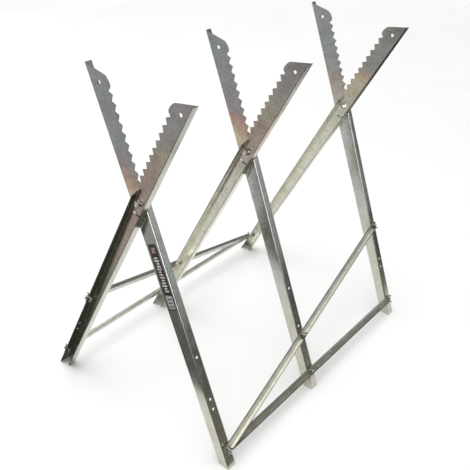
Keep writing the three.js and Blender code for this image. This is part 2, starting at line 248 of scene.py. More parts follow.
def flange_tint_and_painted_shade(nodes, links, source, tint, plain, dark):
    """Keeps a tint to the web: flanges take a plain colour, and the inside of the short one a darker colour
    that is painted shade.
    """
    facing_y = part_of(nodes, links, source.outputs["Normal"], "Y")
    web = maths(nodes, links, "MULTIPLY", facing_y, facing_y)
    tint = mix(nodes, links, "MIX", web, (*plain, 1), tint)
    lean = HALF_ANGLE - FOLD_TILT
    across = dot_with(nodes, links, source.outputs["Object"], (math.cos(lean), 0, -math.sin(lean)))
    fold = SHORT_FACE * MM - PIVOT_HEIGHT * MM * math.sin(lean)
    near_fold = maths(nodes, links, "LESS_THAN", across, fold + 1.5 * SHEET * MM)
    facing_x = part_of(nodes, links, source.outputs["Normal"], "X")
    # Painted shade: the inside face of the short flange, near its fold, is multiplied by the dark colour.
    painted_shade_inside = maths(nodes, links, "MULTIPLY", facing_x, near_fold, clamp=True)
    return mix(nodes, links, "MULTIPLY", painted_shade_inside, tint, (*dark, 1))


def galvanised(name, bands, shift, dull=0.0, flanges=None):
    """Passivated zinc whose tint changes with the height above the floor, in metres.
    bands: (height, colour). shift moves the pattern, so that no two pieces show the same one."""
    mat, nodes, links, shader = material(name)
    source = nodes.new("ShaderNodeTexCoord")
    coords = source.outputs["Object"]
    moved = nodes.new("ShaderNodeMapping")
    moved.inputs["Location"].default_value = shift
    links.new(coords, moved.inputs["Vector"])
    moved = moved.outputs["Vector"]
    wander = 0.16
    drift = maths(nodes, links, "MULTIPLY_ADD", noise(nodes, links, moved, 16, 3.0), wander, -wander / 2)
    height = maths(nodes, links, "ADD", part_of(nodes, links, coords, "Z"), drift)
    tint = ramp(nodes, links, height, [(z, (*colour, 1)) for z, colour in bands])
    # flanges: a plain flange colour, then the painted shade for the inside of the short flange.
    if flanges:
        tint = flange_tint_and_painted_shade(nodes, links, source, tint, *flanges)
    spangle = nodes.new("ShaderNodeTexVoronoi")
    spangle.inputs["Scale"].default_value = 300
    links.new(moved, spangle.inputs["Vector"])
    crystal = nodes.new("ShaderNodeRGBToBW")
    links.new(spangle.outputs["Color"], crystal.inputs["Color"])
    crystal = crystal.outputs["Val"]
    shade = mix(nodes, links, "MULTIPLY", 1.0, tint, ramp(nodes, links, crystal, [
        (0.15, grey(0.84)), (0.85, grey(1.0)),
    ]))
    stains = noise(nodes, links, moved, 38, 6.0, 0.65)
    shade = mix(nodes, links, "MULTIPLY", 1.0, shade, ramp(nodes, links, stains, [
        (0.32, (0.84, 0.83, 0.79, 1)), (0.56, grey(1.0)),
    ]))
    grain = noise(nodes, links, moved, 900, 3.0, 0.7)
    shade = mix(nodes, links, "MULTIPLY", 0.5, shade, ramp(nodes, links, grain, [
        (0.3, grey(0.80)), (0.7, grey(1.0)),
    ]))
    worn = edge_mask(nodes, links, 0.0007)
    shade = mix(nodes, links, "MIX", worn, shade, (0.66, 0.66, 0.62, 1))
    links.new(shade, shader.inputs["Base Color"])
    stained = span(nodes, links, stains, 0.12 + dull, 0.24 + dull)
    rough = maths(nodes, links, "ADD", stained, span(nodes, links, crystal, 0.0, 0.06))
    links.new(rough, shader.inputs["Roughness"])
    waves = bump(nodes, links, noise(nodes, links, moved, 9, 2.0), 0.2, 0.003)
    fine = bump(nodes, links, grain, 0.10, 0.0002, waves)
    links.new(bump(nodes, links, crystal, 0.035, 0.0003, fine), shader.inputs["Normal"])
    return mat


def plated(name, colour, rough_low, rough_high):
    """Metal with a fine mottle and paler worn edges."""
    mat, nodes, links, shader = material(name)
    coords = nodes.new("ShaderNodeTexCoord").outputs["Object"]
    mottle = noise(nodes, links, coords, 420, 4.0)
    low = tuple(c * 0.78 for c in colour) + (1,)
    shade = ramp(nodes, links, mottle, [(0.3, low), (0.7, (*colour, 1))])
    worn = edge_mask(nodes, links, 0.0004)
    shade = mix(nodes, links, "MIX", worn, shade, (0.80, 0.79, 0.76, 1))
    links.new(shade, shader.inputs["Base Color"])
    links.new(span(nodes, links, mottle, rough_low, rough_high), shader.inputs["Roughness"])
    fine = noise(nodes, links, coords, 2600, 3.0)
    links.new(bump(nodes, links, fine, 0.12, 0.0001), shader.inputs["Normal"])
    return mat


def film(name, colour):
    """Printed plastic film with light scuffs."""
    mat, nodes, links, shader = material(name, 0.0)
    coords = nodes.new("ShaderNodeTexCoord").outputs["Object"]
    scuffs = noise(nodes, links, coords, 300, 5.0, 0.7)
    dark = tuple(c * 0.8 for c in colour) + (1,)
    links.new(ramp(nodes, links, scuffs, [(0.35, dark), (0.65, (*colour, 1))]), shader.inputs["Base Color"])
    links.new(span(nodes, links, scuffs, 0.32, 0.46), shader.inputs["Roughness"])
    links.new(bump(nodes, links, scuffs, 0.05, 0.0002), shader.inputs["Normal"])
    return mat


BEIGE = (0.68, 0.67, 0.58)
PALE_ZINC = (0.82, 0.81, 0.70)
STEEL_GREY = (0.50, 0.53, 0.52)
LEFT_ARM = [
    (0.80, (0.50, 0.48, 0.48)), (0.60, (0.60, 0.46, 0.41)), (0.645, (0.62, 0.58, 0.44)),
    (0.70, (0.52, 0.49, 0.47)),
]
RIGHT_FOOT = [(0.10, BEIGE), (0.80, STEEL_GREY), (0.30, (0.60, 0.62, 0.58))]
ZINC = {
    # left_front: its second flange colour, (0.32, 0.38, 0.33), is painted shade inside the short flange.
    "left_front": galvanised("galvanised_left_front", [
        (0.10, BEIGE), *LEFT_ARM, (0.30, (0.58, 0.54, 0.47)), (0.42, (0.62, 0.52, 0.44)),
    ], (0, 0, 0), flanges=((0.68, 0.68, 0.61), (0.32, 0.38, 0.33))),
    "left": galvanised("galvanised_left", [
        (0.10, PALE_ZINC), *LEFT_ARM, (0.47, PALE_ZINC), (0.53, (0.68, 0.62, 0.54)),
    ], (0.7, 2.2, 0)),
    "left_rear": galvanised("galvanised_left_rear", [
        (0.10, PALE_ZINC), (0.80, (0.60, 0.60, 0.52)), (0.47, PALE_ZINC), (0.555, (0.78, 0.76, 0.63)),
        (0.605, (0.86, 0.74, 0.56)), (0.64, (0.80, 0.62, 0.50)), (0.665, (0.58, 0.54, 0.48)),
        (0.70, (0.50, 0.52, 0.50)),
    ], (0.2, 0.9, 1.4)),
    "right_front": galvanised("galvanised_right_front", [
        *RIGHT_FOOT, (0.53, (0.60, 0.61, 0.58)), (0.55, (0.86, 0.76, 0.52)), (0.585, (0.76, 0.53, 0.46)),
        (0.61, (0.56, 0.49, 0.50)), (0.64, STEEL_GREY),
    ], (1.6, 0.3, 2.1)),
    "right_rear": galvanised("galvanised_right_rear", [
        *RIGHT_FOOT, (0.545, (0.62, 0.64, 0.62)), (0.58, (0.68, 0.61, 0.53)), (0.615, (0.62, 0.56, 0.51)),
        (0.65, (0.54, 0.57, 0.56)),
    ], (2.3, 1.1, 0.8)),
    "right": galvanised("galvanised_right", [
        *RIGHT_FOOT, (0.545, (0.62, 0.64, 0.62)), (0.575, (0.86, 0.76, 0.50)), (0.615, (0.74, 0.50, 0.44)),
        (0.645, (0.56, 0.49, 0.50)), (0.68, STEEL_GREY),
    ], (3.1, 1.7, 0.4)),
}
BRACE_ZINC = galvanised(
    "galvanised_brace", [(0.0, (0.70, 0.69, 0.62)), (0.4, (0.70, 0.71, 0.66))], (1.3, 5.2, 2.9), dull=0.11,
)
# Cut edges of the sheet are near-black: painted shade that draws them as dark lines along the faces and lips.
SHEARED = plated("sheared_edge", (0.11, 0.11, 0.10), 0.35, 0.5)
PLATED = plated("zinc_plated", (0.70, 0.69, 0.64), 0.10, 0.24)
WING_METAL = plated("dull_plated_nut", (0.27, 0.265, 0.24), 0.16, 0.30)
LABEL_MATERIALS = {
    "dark": film("label_dark", (0.018, 0.018, 0.019)),
    "red": film("label_red", (0.11, 0.022, 0.03)),
    "pale": film("label_pale", (0.60, 0.58, 0.52)),
    "grey": film("label_grey", (0.36, 0.36, 0.35)),
    "pink": film("label_pink", (0.55, 0.42, 0.40)),
}


# ---- mesh helpers ----
def publish(node, bm, materials, body, place, bevel=None):
    """Turns a mesh drawn in millimetres into the finished object that stands for one CAD node."""
    name = "look_" + node
    bmesh.ops.transform(bm, matrix=Matrix.Scale(MM, 4) @ place, verts=bm.verts)
    bmesh.ops.recalc_face_normals(bm, faces=bm.faces)
    mesh = bpy.data.meshes.new(name)
    bm.to_mesh(mesh)
    bm.free()
    for mat in materials:
        mesh.materials.append(mat)
    mesh.shade_smooth()
    mesh.set_sharp_from_angle(angle=math.radians(32))
    obj = bpy.data.objects.new(name, mesh)
    bpy.context.scene.collection.objects.link(obj)
    if bevel:
        mod = obj.modifiers.new("rounded edges", "BEVEL")
        mod.width = bevel * MM
        mod.segments = 2
        mod.limit_method = "ANGLE"
        mod.angle_limit = math.radians(40)
        mod.harden_normals = True
        mod.use_clamp_overlap = True
    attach(obj, body)
    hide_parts(node)


def inside(point, loop):
    x, y = point
    hit = False
    for (ax, ay), (bx, by) in zip(loop, loop[1:] + loop[:1]):
        if (ay > y) != (by > y) and x < (bx - ax) * (y - ay) / (by - ay) + ax:
            hit = not hit
    return hit


def circle(cx, cy, radius, count=28):
    turn = 2 * math.pi / count
    return [(cx + radius * math.cos(i * turn), cy + radius * math.sin(i * turn)) for i in range(count)]


def folded_sheet(outline, holes, creases, outer, thick):
    """Meshes a flat blank with holes, folds it with outer(across, up), and gives it thickness.
    outer returns the point on the outside face and the outward normal."""
    points, edges = [], []
    for loop in [outline, *holes]:
        start = len(points)
        points += [Vector(p) for p in loop]
        edges += [(start + i, start + (i + 1) % len(loop)) for i in range(len(loop))]
    for a, b in creases:
        edges.append((len(points), len(points) + 1))
        points += [Vector(a), Vector(b)]
    verts, _, faces, *_ = delaunay_2d_cdt(points, edges, [], 0, 1e-4)
    kept = []
    for face in faces:
        middle = sum((verts[i] for i in face), Vector((0, 0))) / len(face)
        if inside(middle, outline) and not any(inside(middle, hole) for hole in holes):
            kept.append(face)
    bm = bmesh.new()
    pairs = {}
    for i in sorted({i for face in kept for i in face}):
        point, normal = outer(*verts[i])
        pairs[i] = (bm.verts.new(point), bm.verts.new(point - normal * thick))
    uses = {}
    for face in kept:
        bm.faces.new([pairs[i][0] for i in face])
        bm.faces.new([pairs[i][1] for i in reversed(face)])
        for a, b in zip(face, [*face[1:], face[0]]):
            uses.setdefault(frozenset((a, b)), []).append((a, b))
    for found in uses.values():
        if len(found) == 1:
            a, b = found[0]
            wall = bm.faces.new([pairs[b][0], pairs[a][0], pairs[a][1], pairs[b][1]])
            wall.material_index = 1
    return bm


def lathe(profile, sides=32):
    """Spins (along, radius) points about the X axis. A radius of 0 closes the end."""
    bm = bmesh.new()
    rings = []
    for along, radius in profile:
        if radius == 0:
            rings.append([bm.verts.new((along, 0, 0))])
            continue
        turn = 2 * math.pi / sides
        rings.append([
            bm.verts.new((along, radius * math.cos(i * turn), radius * math.sin(i * turn)))
            for i in range(sides)
        ])
    for one, two in zip(rings, rings[1:]):
        join_rings(bm, one, two)
    if len(rings[0]) > 1 and len(rings[-1]) > 1:
        join_rings(bm, rings[-1], rings[0])
    return bm


def join_rings(bm, one, two):
    """Faces between two closed rings, either of which may be a single point."""
    count = max(len(one), len(two))
    for i in range(count):
        j = (i + 1) % count
        corners = []
        for ring, k in ((one, i), (one, j), (two, j), (two, i)):
            vert = ring[k % len(ring)]
            if vert not in corners:
                corners.append(vert)
        if len(corners) > 2:
            bm.faces.new(corners)


def add(target, source, matrix=Matrix()):
    """Copies one drawing into another."""
    made = {v: target.verts.new(matrix @ v.co) for v in source.verts}
    for face in source.faces:
        target.faces.new([made[v] for v in face.verts])
    source.free()
    return target


# ---- legs ----
LEAN_SIN, LEAN_COS = math.sin(HALF_ANGLE), math.cos(HALF_ANGLE)
ARC = BEND * QUARTER
LONG_BEND = LONG_FACE - BEND
BEND_LINES = 7
FOOT_ZONE = 25.0
FOOT_SNAP = 1.6


def side_turn(side):
    """The right side is the left one turned half round about the vertical."""
    return Matrix.Rotation(math.pi, 4, "Z") if side == "right" else Matrix()


def leg_frame(side, station):
    """The pivot, with the contact face of this leg at y = 0 and its length along z."""
    plane = PLANES[STATIONS.index(station)] * (-1 if side == "right" else 1)
    shift = Matrix.Translation((0, plane - CONTACT_GAP / 2, PIVOT_HEIGHT))
    return side_turn(side) @ shift @ Matrix.Rotation(HALF_ANGLE, 4, "Y")


def short_bend(up):
    return SHORT_FACE + SHORT_SLOPE * up + BEND


def short_depth(up):
    return SHORT_DEPTH + SHORT_DEPTH_SLOPE * up


def long_depth(up):
    return LONG_DEPTH - max(up, 0) / ARM_LENGTH * (LONG_DEPTH - LONG_DEPTH_TOP)


def foot_up(across):
    """How far along the leg the floor cuts it."""
    return (across * LEAN_SIN - PIVOT_HEIGHT) / LEAN_COS


def section(blank, up):
    """(across, back from the contact plane, normal across, normal back) at a point of the blank."""
    if blank > LONG_BEND + ARC:
        return LONG_FACE, BEND + blank - LONG_BEND - ARC, 1, 0
    if blank > LONG_BEND:
        turn = (blank - LONG_BEND) / BEND
        sine, cosine = math.sin(turn), math.cos(turn)
        return LONG_BEND + BEND * sine, BEND - BEND * cosine, sine, -cosine
    left = short_bend(up)
    if up > SHORT_TOP + 0.2 or blank >= left:
        return blank, 0, 0, -1
    if blank < left - ARC:
        return left - BEND, BEND + left - ARC - blank, -1, 0
    turn = (left - blank) / BEND
    sine, cosine = math.sin(turn), math.cos(turn)
    return left - BEND * sine, BEND - BEND * cosine, -sine, -cosine


def top_edge(across):
    """The straight sloping top, from the brow of the head to the outer corner."""
    brow_across, brow_up = HEAD_BROW[-1]
    return brow_up + (across - brow_across) * (ARM_LENGTH - brow_up) / (LONG_FACE - brow_across)


def at_foot(blank):
    """The point of the blank that lands on the floor once it is folded."""
    up = foot_up(0)
    for _ in range(3):
        up = foot_up(section(blank, up)[0])
    return blank, up


def round_nose(points, steps=3):
    """Chaikin corner cutting, ends kept."""
    for _ in range(steps):
        cut = [points[0]]
        for (ax, ay), (bx, by) in zip(points, points[1:]):
            cut += [(ax * near + bx * (1 - near), ay * near + by * (1 - near)) for near in (0.75, 0.25)]
        points = [*cut, points[-1]]
    return points


def short_free(up):
    return short_bend(up) - ARC - short_depth(up) + BEND


def long_free(up):
    return LONG_BEND + ARC + long_depth(up) - BEND


def leg_outline():
    """The flat blank of a leg, round from the foot by the long flange, the head and the teeth."""
    foot = [at_foot(short_free(foot_up(0)))]
    foot += [at_foot(short_bend(foot_up(0)) - ARC * i / BEND_LINES) for i in range(BEND_LINES, -1, -1)]
    foot += [at_foot(LONG_BEND + ARC * i / BEND_LINES) for i in range(BEND_LINES + 1)]
    foot += [at_foot(long_free(foot_up(LONG_FACE)))]
    points = [*foot, (long_free(0), 0), (long_free(ARM_LENGTH), ARM_LENGTH), (LONG_BEND + ARC, ARM_LENGTH)]
    for i in range(BEND_LINES, -1, -1):
        blank = LONG_BEND + ARC * i / BEND_LINES
        points.append((blank, min(top_edge(section(blank, ARM_LENGTH)[0]), ARM_LENGTH - 0.01)))
    last_tip = FIRST_TIP + (TOOTH_COUNT - 1) * TOOTH_PITCH
    neck = (VALLEY_FACE, last_tip + VALLEY_ABOVE_TIP)
    head = [neck, *HEAD_NOSE, *HEAD_BROW, (0.0, top_edge(0.0))]
    points += reversed(round_nose(head))
    for i in reversed(range(TOOTH_COUNT)):
        tip = FIRST_TIP + i * TOOTH_PITCH
        points.append((TIP_FACE, tip))
        if i:
            points.append((VALLEY_FACE, tip - TOOTH_PITCH + VALLEY_ABOVE_TIP))
    corner = short_bend(SHORT_TOP)
    points += [(VALLEY_FACE, SHORT_TOP + 0.7), (corner, SHORT_TOP + 0.7), (corner, SHORT_TOP)]
    points += [(corner - ARC, SHORT_TOP - 0.8), (short_free(SHORT_TOP_FREE), SHORT_TOP_FREE)]
    return points


def slot_outline():
    """The curved slot under the pivot: its outer arc, an end cap, its inner arc and the other cap."""
    half = SLOT_WIDTH / 2
    arc_steps, cap_steps = 12, 8
    points = []
    for side, start, end in ((1, SLOT_START, SLOT_END), (-1, SLOT_END, SLOT_START)):
        radius = SLOT_RADIUS + side * half
        for i in range(arc_steps + 1):
            angle = start + (end - start) * i / arc_steps
            points.append((radius * math.sin(angle), -radius * math.cos(angle)))
        sine, cosine = math.sin(end), math.cos(end)
        for i in range(1, cap_steps):
            swing = math.pi * i / cap_steps
            out, along = side * half * math.cos(swing), side * half * math.sin(swing)
            points.append((
                (SLOT_RADIUS + out) * sine + along * cosine, along * sine - (SLOT_RADIUS + out) * cosine,
            ))
    return points


def leg(side, station, middle_holes):
    """Half of a cross: a sheet with two flanges and a toothed edge. The right one has the slot's lug."""
    rows = [(LOW_HOLE, LOW_HOLE_DEPTH), (HIGH_HOLE, HIGH_HOLE_DEPTH)]
    rows += [(up, MID_HOLE_DEPTH) for up in middle_holes]
    holes = [circle(0, 0, PIVOT_HOLE, 36), circle(*TOP_HOLE, 36)]
    holes += [circle(short_bend(up) - ARC - depth + BEND, up, BOLT_HOLE) for up, depth in rows]
    if side == "left":
        holes.append(slot_outline())
    low = foot_up(0) - 5
    creases = []
    for i in range(BEND_LINES + 1):
        step = ARC * i / BEND_LINES
        creases.append(((LONG_BEND + step, low), (LONG_BEND + step, ARM_LENGTH - 0.02)))
        creases.append(((short_bend(low) - step, low), (short_bend(SHORT_TOP) - step, SHORT_TOP)))
    creases.append(((short_bend(0), 0), (LONG_BEND, 0)))

    def outer(blank, up):
        across, back, normal_across, normal_back = section(blank, up)
        point = Vector((across, -back, up))
        return point, Vector((normal_across, -normal_back, 0))

    bm = folded_sheet(leg_outline(), holes, creases, outer, SHEET)
    for vert in bm.verts:
        floor = foot_up(vert.co.x)
        if vert.co.z < foot_up(0) + FOOT_ZONE and abs(vert.co.z - floor) < FOOT_SNAP:
            vert.co.z = floor
    if side == "right":
        x, z = SLOT_RADIUS * math.sin(LUG_ANGLE), -SLOT_RADIUS * math.cos(LUG_ANGLE)
        lug = lathe([(-1, 0), (-1, LUG_RADIUS), (2.9, LUG_RADIUS), (3.3, 1.35), (3.4, 0.9), (3.4, 0)], 24)
        add(bm, lug, Matrix.Translation((x, 0, z)) @ Matrix.Rotation(QUARTER, 4, "Z"))
    zinc = ZINC.get(f"{side}_{station}", ZINC[side])
    publish(
        f"{side}_leg_{station}", bm, [zinc, SHEARED], side + "_side",
        leg_frame(side, station), bevel=0.3,
    )


# ---- braces ----
def brace(node, side, length, bolts, spares, place):
    """A flat bar with one edge folded into a lip, which stops short of both ends."""
    flip = 1 if side == "left" else -1
    arc = BRACE_BEND * QUARTER
    half = BRACE_FACE / 2
    crease = half - BRACE_BEND
    free = crease + arc + BRACE_LIP - BRACE_BEND
    start, end = -BRACE_END, length + BRACE_END
    corner = 2.5
    lip_start, lip_end = start + LIP_RELIEF_FREE, end - LIP_RELIEF_SHARED
    outline = [
        (start, corner - half), (start + corner, -half), (end - corner, -half), (end, corner - half),
        (end, half), (lip_end, half), (lip_end, free), (lip_start, free), (lip_start, half), (start, half),
    ]
    holes = [circle(x, 0, BOLT_HOLE) for x in bolts] + [circle(x, 0, SPARE_HOLE) for x in spares]
    lines = 6
    creases = [
        ((lip_start, crease + arc * i / lines), (lip_end, crease + arc * i / lines)) for i in range(lines + 1)
    ]

    def outer(along, blank):
        near_end = along < lip_start - 0.01 or along > lip_end + 0.01
        if blank <= crease or near_end:
            point, normal = (0, blank), (1, 0)
        elif blank < crease + arc:
            turn = (blank - crease) / BRACE_BEND
            point = (BRACE_BEND * math.cos(turn) - BRACE_BEND, crease + BRACE_BEND * math.sin(turn))
            normal = (math.cos(turn), math.sin(turn))
        else:
            point, normal = (crease + arc - blank - BRACE_BEND, half), (0, 1)
        return Vector((point[0], along, flip * point[1])), Vector((normal[0], 0, flip * normal[1]))

    bm = folded_sheet(outline, holes, creases, outer, SHEET)
    publish(node, bm, [BRACE_ZINC, SHEARED], side + "_side", place, bevel=0.25)


# ---- fasteners, drawn along -X with their seat at x = 0 ----
def hexagon(flats, thick, chamfer_both=False, bore=0.0):
    """A hexagon from x = 0 to x = -thick, its corners chamfered at the far end or at both."""
    bm = bmesh.new()
    count = 72
    inner = flats / 2 * 0.96
    slope = math.tan(math.radians(30))
    break_edge = 0.5
    rings = []

    def ring(along, radius=None, drop=0):
        """A round ring, or without a radius the hexagon's own outline, moved along x at its corners."""
        made = []
        for i in range(count):
            angle = 2 * math.pi * i / count
            reach = flats / 2 / math.cos(math.radians((math.degrees(angle) % 60) - 30))
            x = along + drop * (reach - inner) * slope
            out = reach if radius is None else radius
            made.append(bm.verts.new((x, out * math.cos(angle), out * math.sin(angle))))
        rings.append(made)

    if bore:
        ring(-break_edge, bore)
        ring(0, bore + break_edge)
    ring(0, inner)
    if chamfer_both:
        ring(0, drop=-1)
    else:
        ring(-0.1)
    ring(-thick, drop=1)
    ring(-thick, inner)
    if bore:
        ring(-thick, bore + break_edge)
        ring(break_edge - thick, bore)
        rings.append(rings[0])
    else:
        for edge in (rings[0], rings[-1]):
            hub = bm.verts.new((edge[0].co.x, 0, 0))
            for i in range(count):
                bm.faces.new((edge[i], edge[(i + 1) % count], hub))
    for one, two in zip(rings, rings[1:]):
        join_rings(bm, one, two)
    return bm


def threaded_rod(radius, start, end, pitch):
    """A screw thread from x = start down to x = end, with a chamfered tip."""
    steps = 24
    core = radius - pitch * 0.55
    root = core * 0.98
    bm = lathe([(start, 0), (start, core), (end + 0.6, core), (end, core - 0.6), (end, 0)], steps)
    turns = (start - end - 0.5) / pitch - 1
    total = int(turns * steps)
    previous = None
    for k in range(total + 1):
        angle = 2 * math.pi * k / steps
        along = start - 0.2 - pitch * k / steps
        fade = min(1.0, k / steps, (total - k) / steps)
        crest = core + (radius - core) * fade
        rib = [
            (along, root), (along - pitch * 0.42, crest), (along - pitch * 0.58, crest), (along - pitch, root),
        ]
        current = [bm.verts.new((x, r * math.cos(angle), r * math.sin(angle))) for x, r in rib]
        if previous:
            for i in range(3):
                bm.faces.new((previous[i], previous[i + 1], current[i + 1], current[i]))
        previous = current
    return bm


def brace_bolt(tip):
    """Head inside the short flange, thread out through the braces to x = -tip."""
    seat = SHEET + GAP
    head = hexagon(BRACE_HEAD_FLATS, BRACE_HEAD_DEPTH)
    bm = add(bmesh.new(), head, Matrix.Translation((seat + BRACE_HEAD_DEPTH, 0, 0)))
    return add(bm, threaded_rod(BRACE_BOLT_RADIUS, seat + 1, -tip, 1.0))


def wing_nut():
    """Hub with two swept ears."""
    bm = lathe([
        (-0.4, 3.3), (0, 3.7), (0, 5.1), (-0.5, 5.4), (-2.2, 5.3), (-5.2, 4.8), (-5.8, 4.5), (-6.0, 4.1),
        (-6.0, 3.7), (-5.6, 3.3),
    ], 32)
    ear = round_nose([
        (3.9, 1.1), (5.4, 1.4), (7.8, 3.4), (10.0, 6.2), (10.9, 8.8), (10.5, 10.4), (9.1, 11.0), (7.6, 10.2),
        (6.1, 7.3), (4.9, 5.6), (3.9, 5.0),
    ], 2)
    middle, hub_edge = Vector((7.4, 6.0)), 4.0
    for side in (1, -1):
        plate = bmesh.new()
        loops = []
        for x, inset in ((-1.0, 0.45), (-0.55, 0.0), (0.55, 0.0), (1.0, 0.45)):
            loop = []
            for point in ear:
                spot = Vector(point)
                if spot.x > hub_edge:
                    spot -= (spot - middle).normalized() * inset
                loop.append(plate.verts.new((-spot.y, side * spot.x, x)))
            loops.append(loop)
        for one, two in zip(loops, loops[1:]):
            join_rings(plate, one, two)
        plate.faces.new(loops[0])
        plate.faces.new(loops[-1])
        add(bm, plate)
    return bm


def fastener(node, bm, side, metal, place):
    publish(node, bm, [metal], side + "_side", place)


def spun(place, angle):
    return place @ Matrix.Rotation(angle, 4, "X")


def moved_out(place, distance):
    return place @ Matrix.Translation((-distance, 0, 0))


def plate_frame(side):
    """The outer faces of a side's short flanges."""
    x, z = SHORT_FACE * LEAN_COS, PIVOT_HEIGHT - SHORT_FACE * LEAN_SIN
    return side_turn(side) @ Matrix.Translation((x, 0, z)) @ Matrix.Rotation(HALF_ANGLE - FOLD_TILT, 4, "Y")


def layout(side):
    """The y of the lower bolts, the y of the diagonal's bolts, and how high the diagonal's middle one is."""
    planes = PLANES if side == "left" else [-y for y in reversed(PLANES)]
    planes = [y - CONTACT_GAP / 2 for y in planes]
    low = [y - LOW_HOLE_DEPTH for y in planes]
    slant = [planes[0] - HIGH_HOLE_DEPTH, planes[1] - MID_HOLE_DEPTH, planes[2] - LOW_HOLE_DEPTH]
    share = (slant[1] - slant[0]) / (slant[2] - slant[0])
    return low, slant, HIGH_HOLE + share * (LOW_HOLE - HIGH_HOLE)


def build_side(side):
    """Two braces, their bolts and wing nuts. Returns the height of the diagonal's middle bolt."""
    is_left = side == "left"
    plate = plate_frame(side)
    low, slant, middle = layout(side)
    reach, run, drop = low[2] - low[0], slant[2] - slant[0], LOW_HOLE - HIGH_HOLE
    length = math.hypot(run, drop)
    slope = math.atan2(drop, run)
    stack = SHEET + GAP
    low_lift, slant_lift = (stack, 0) if is_left else (0, stack)

    def spares(total, distances):
        return [along if is_left else total - along for along in distances]

    place = plate @ Matrix.Translation((-GAP, low[0], LOW_HOLE)) @ Matrix.Rotation(low_lift / reach, 4, "Z")
    brace(f"{side}_lower_brace", side, reach, [y - low[0] for y in low], spares(reach, SPARE_LOWER), place)
    tilt = Matrix.Rotation(slope, 4, "X") @ Matrix.Rotation(slant_lift / length, 4, "Z")
    place = plate @ Matrix.Translation((-GAP, slant[0], HIGH_HOLE)) @ tilt
    stretch = length / run
    brace(
        f"{side}_diagonal_brace", side, length, [(y - slant[0]) * stretch for y in slant],
        [along * stretch for along in spares(run, SPARE_DIAGONAL)], place,
    )
    order = STATIONS if is_left else STATIONS[::-1]
    turns = [math.radians(t) for t in (LEFT_WING_TURNS if is_left else RIGHT_WING_TURNS)]
    low_out = [stack + low_lift * (y - low[0]) / reach for y in low]
    slant_out = [stack + slant_lift * (y - slant[0]) / run for y in slant]
    joints = [
        ("low", 0, low[0], LOW_HOLE, low_out[0], turns[0]),
        ("low", 1, low[1], LOW_HOLE, low_out[1], turns[1]),
        ("low", 2, low[2], LOW_HOLE, max(low_out[2], slant_out[2]), turns[2]),
        ("high", 0, slant[0], HIGH_HOLE, slant_out[0], slope + turns[3]),
        ("mid", 1, slant[1], middle, slant_out[1], slope + turns[4]),
    ]
    for row, i, y, along, out, spin in joints:
        seat = plate @ Matrix.Translation((0, y, along))
        bolt_spin = spin * 1.7
        fastener(
            f"{side}_{row}_bolt_{order[i]}", brace_bolt(out + BOLT_TAIL), side, PLATED, spun(seat, bolt_spin),
        )
        fastener(
            f"{side}_{row}_wing_nut_{order[i]}", wing_nut(), side, WING_METAL,
            spun(moved_out(seat, out + GAP), spin),
        )
    return middle


# ---- pivots ----
def washer():
    return lathe([
        (0, 4.6), (0, 8.1), (-0.35, 8.5), (0.35 - WASHER, 8.5), (-WASHER, 8.1), (-WASHER, 4.6),
        (0.3 - WASHER, 4.3), (-0.3, 4.3),
    ], 48)


def build_pivot(station):
    """Bolt with its head to the front, a washer on each side, and a nut behind."""
    plane = PLANES[STATIONS.index(station)]
    seat = CONTACT_GAP / 2 + SHEET + GAP
    clamp = seat + WASHER + GAP
    turn = PIVOT_TURNS[station]
    base = Matrix.Translation((0, plane, PIVOT_HEIGHT))
    forward = spun(base @ Matrix.Rotation(QUARTER, 4, "Z"), turn)
    back = base @ Matrix.Rotation(-QUARTER, 4, "Z")
    bolt = add(bmesh.new(), hexagon(PIVOT_FLATS, PIVOT_HEAD_DEPTH), Matrix.Translation((-clamp, 0, 0)))
    add(bolt, lathe([(-clamp - 1, 0), (-clamp - 1, PIVOT_RADIUS), (clamp, PIVOT_RADIUS), (clamp, 0)]))
    thread = threaded_rod(PIVOT_RADIUS, -clamp, -(clamp + PIVOT_TAIL), 1.25)
    add(bolt, thread, Matrix.Rotation(math.pi, 4, "Z"))
    nut = hexagon(PIVOT_FLATS, PIVOT_NUT_DEPTH, True, PIVOT_RADIUS + 0.05)
    fastener(f"pivot_bolt_{station}", bolt, "left", PLATED, forward)
    fastener(f"pivot_head_washer_{station}", washer(), "left", PLATED, moved_out(forward, seat))
    fastener(f"pivot_nut_washer_{station}", washer(), "left", PLATED, moved_out(back, seat))
    fastener(f"pivot_nut_{station}", nut, "left", PLATED, spun(moved_out(back, clamp), turn * 2))


# ---- label ----
def panel(bm, left, right, low, high, height, radius):
    """A rounded patch of film standing this high above the sheet."""
    underside = 0.15
    corners = []
    for cx, cy, start in (
        (right - radius, high - radius, 0), (left + radius, high - radius, 90),
        (left + radius, low + radius, 180), (right - radius, low + radius, 270),
    ):
        for i in range(5):
            angle = math.radians(start + 90 * i / 4)
            corners.append((cx + radius * math.cos(angle), cy + radius * math.sin(angle)))
    top = [bm.verts.new((x, height, z)) for x, z in corners]
    bottom = [bm.verts.new((x, underside, z)) for x, z in corners]
    join_rings(bm, bottom, top)
    for loop in (top, bottom):
        bm.faces.new(loop)


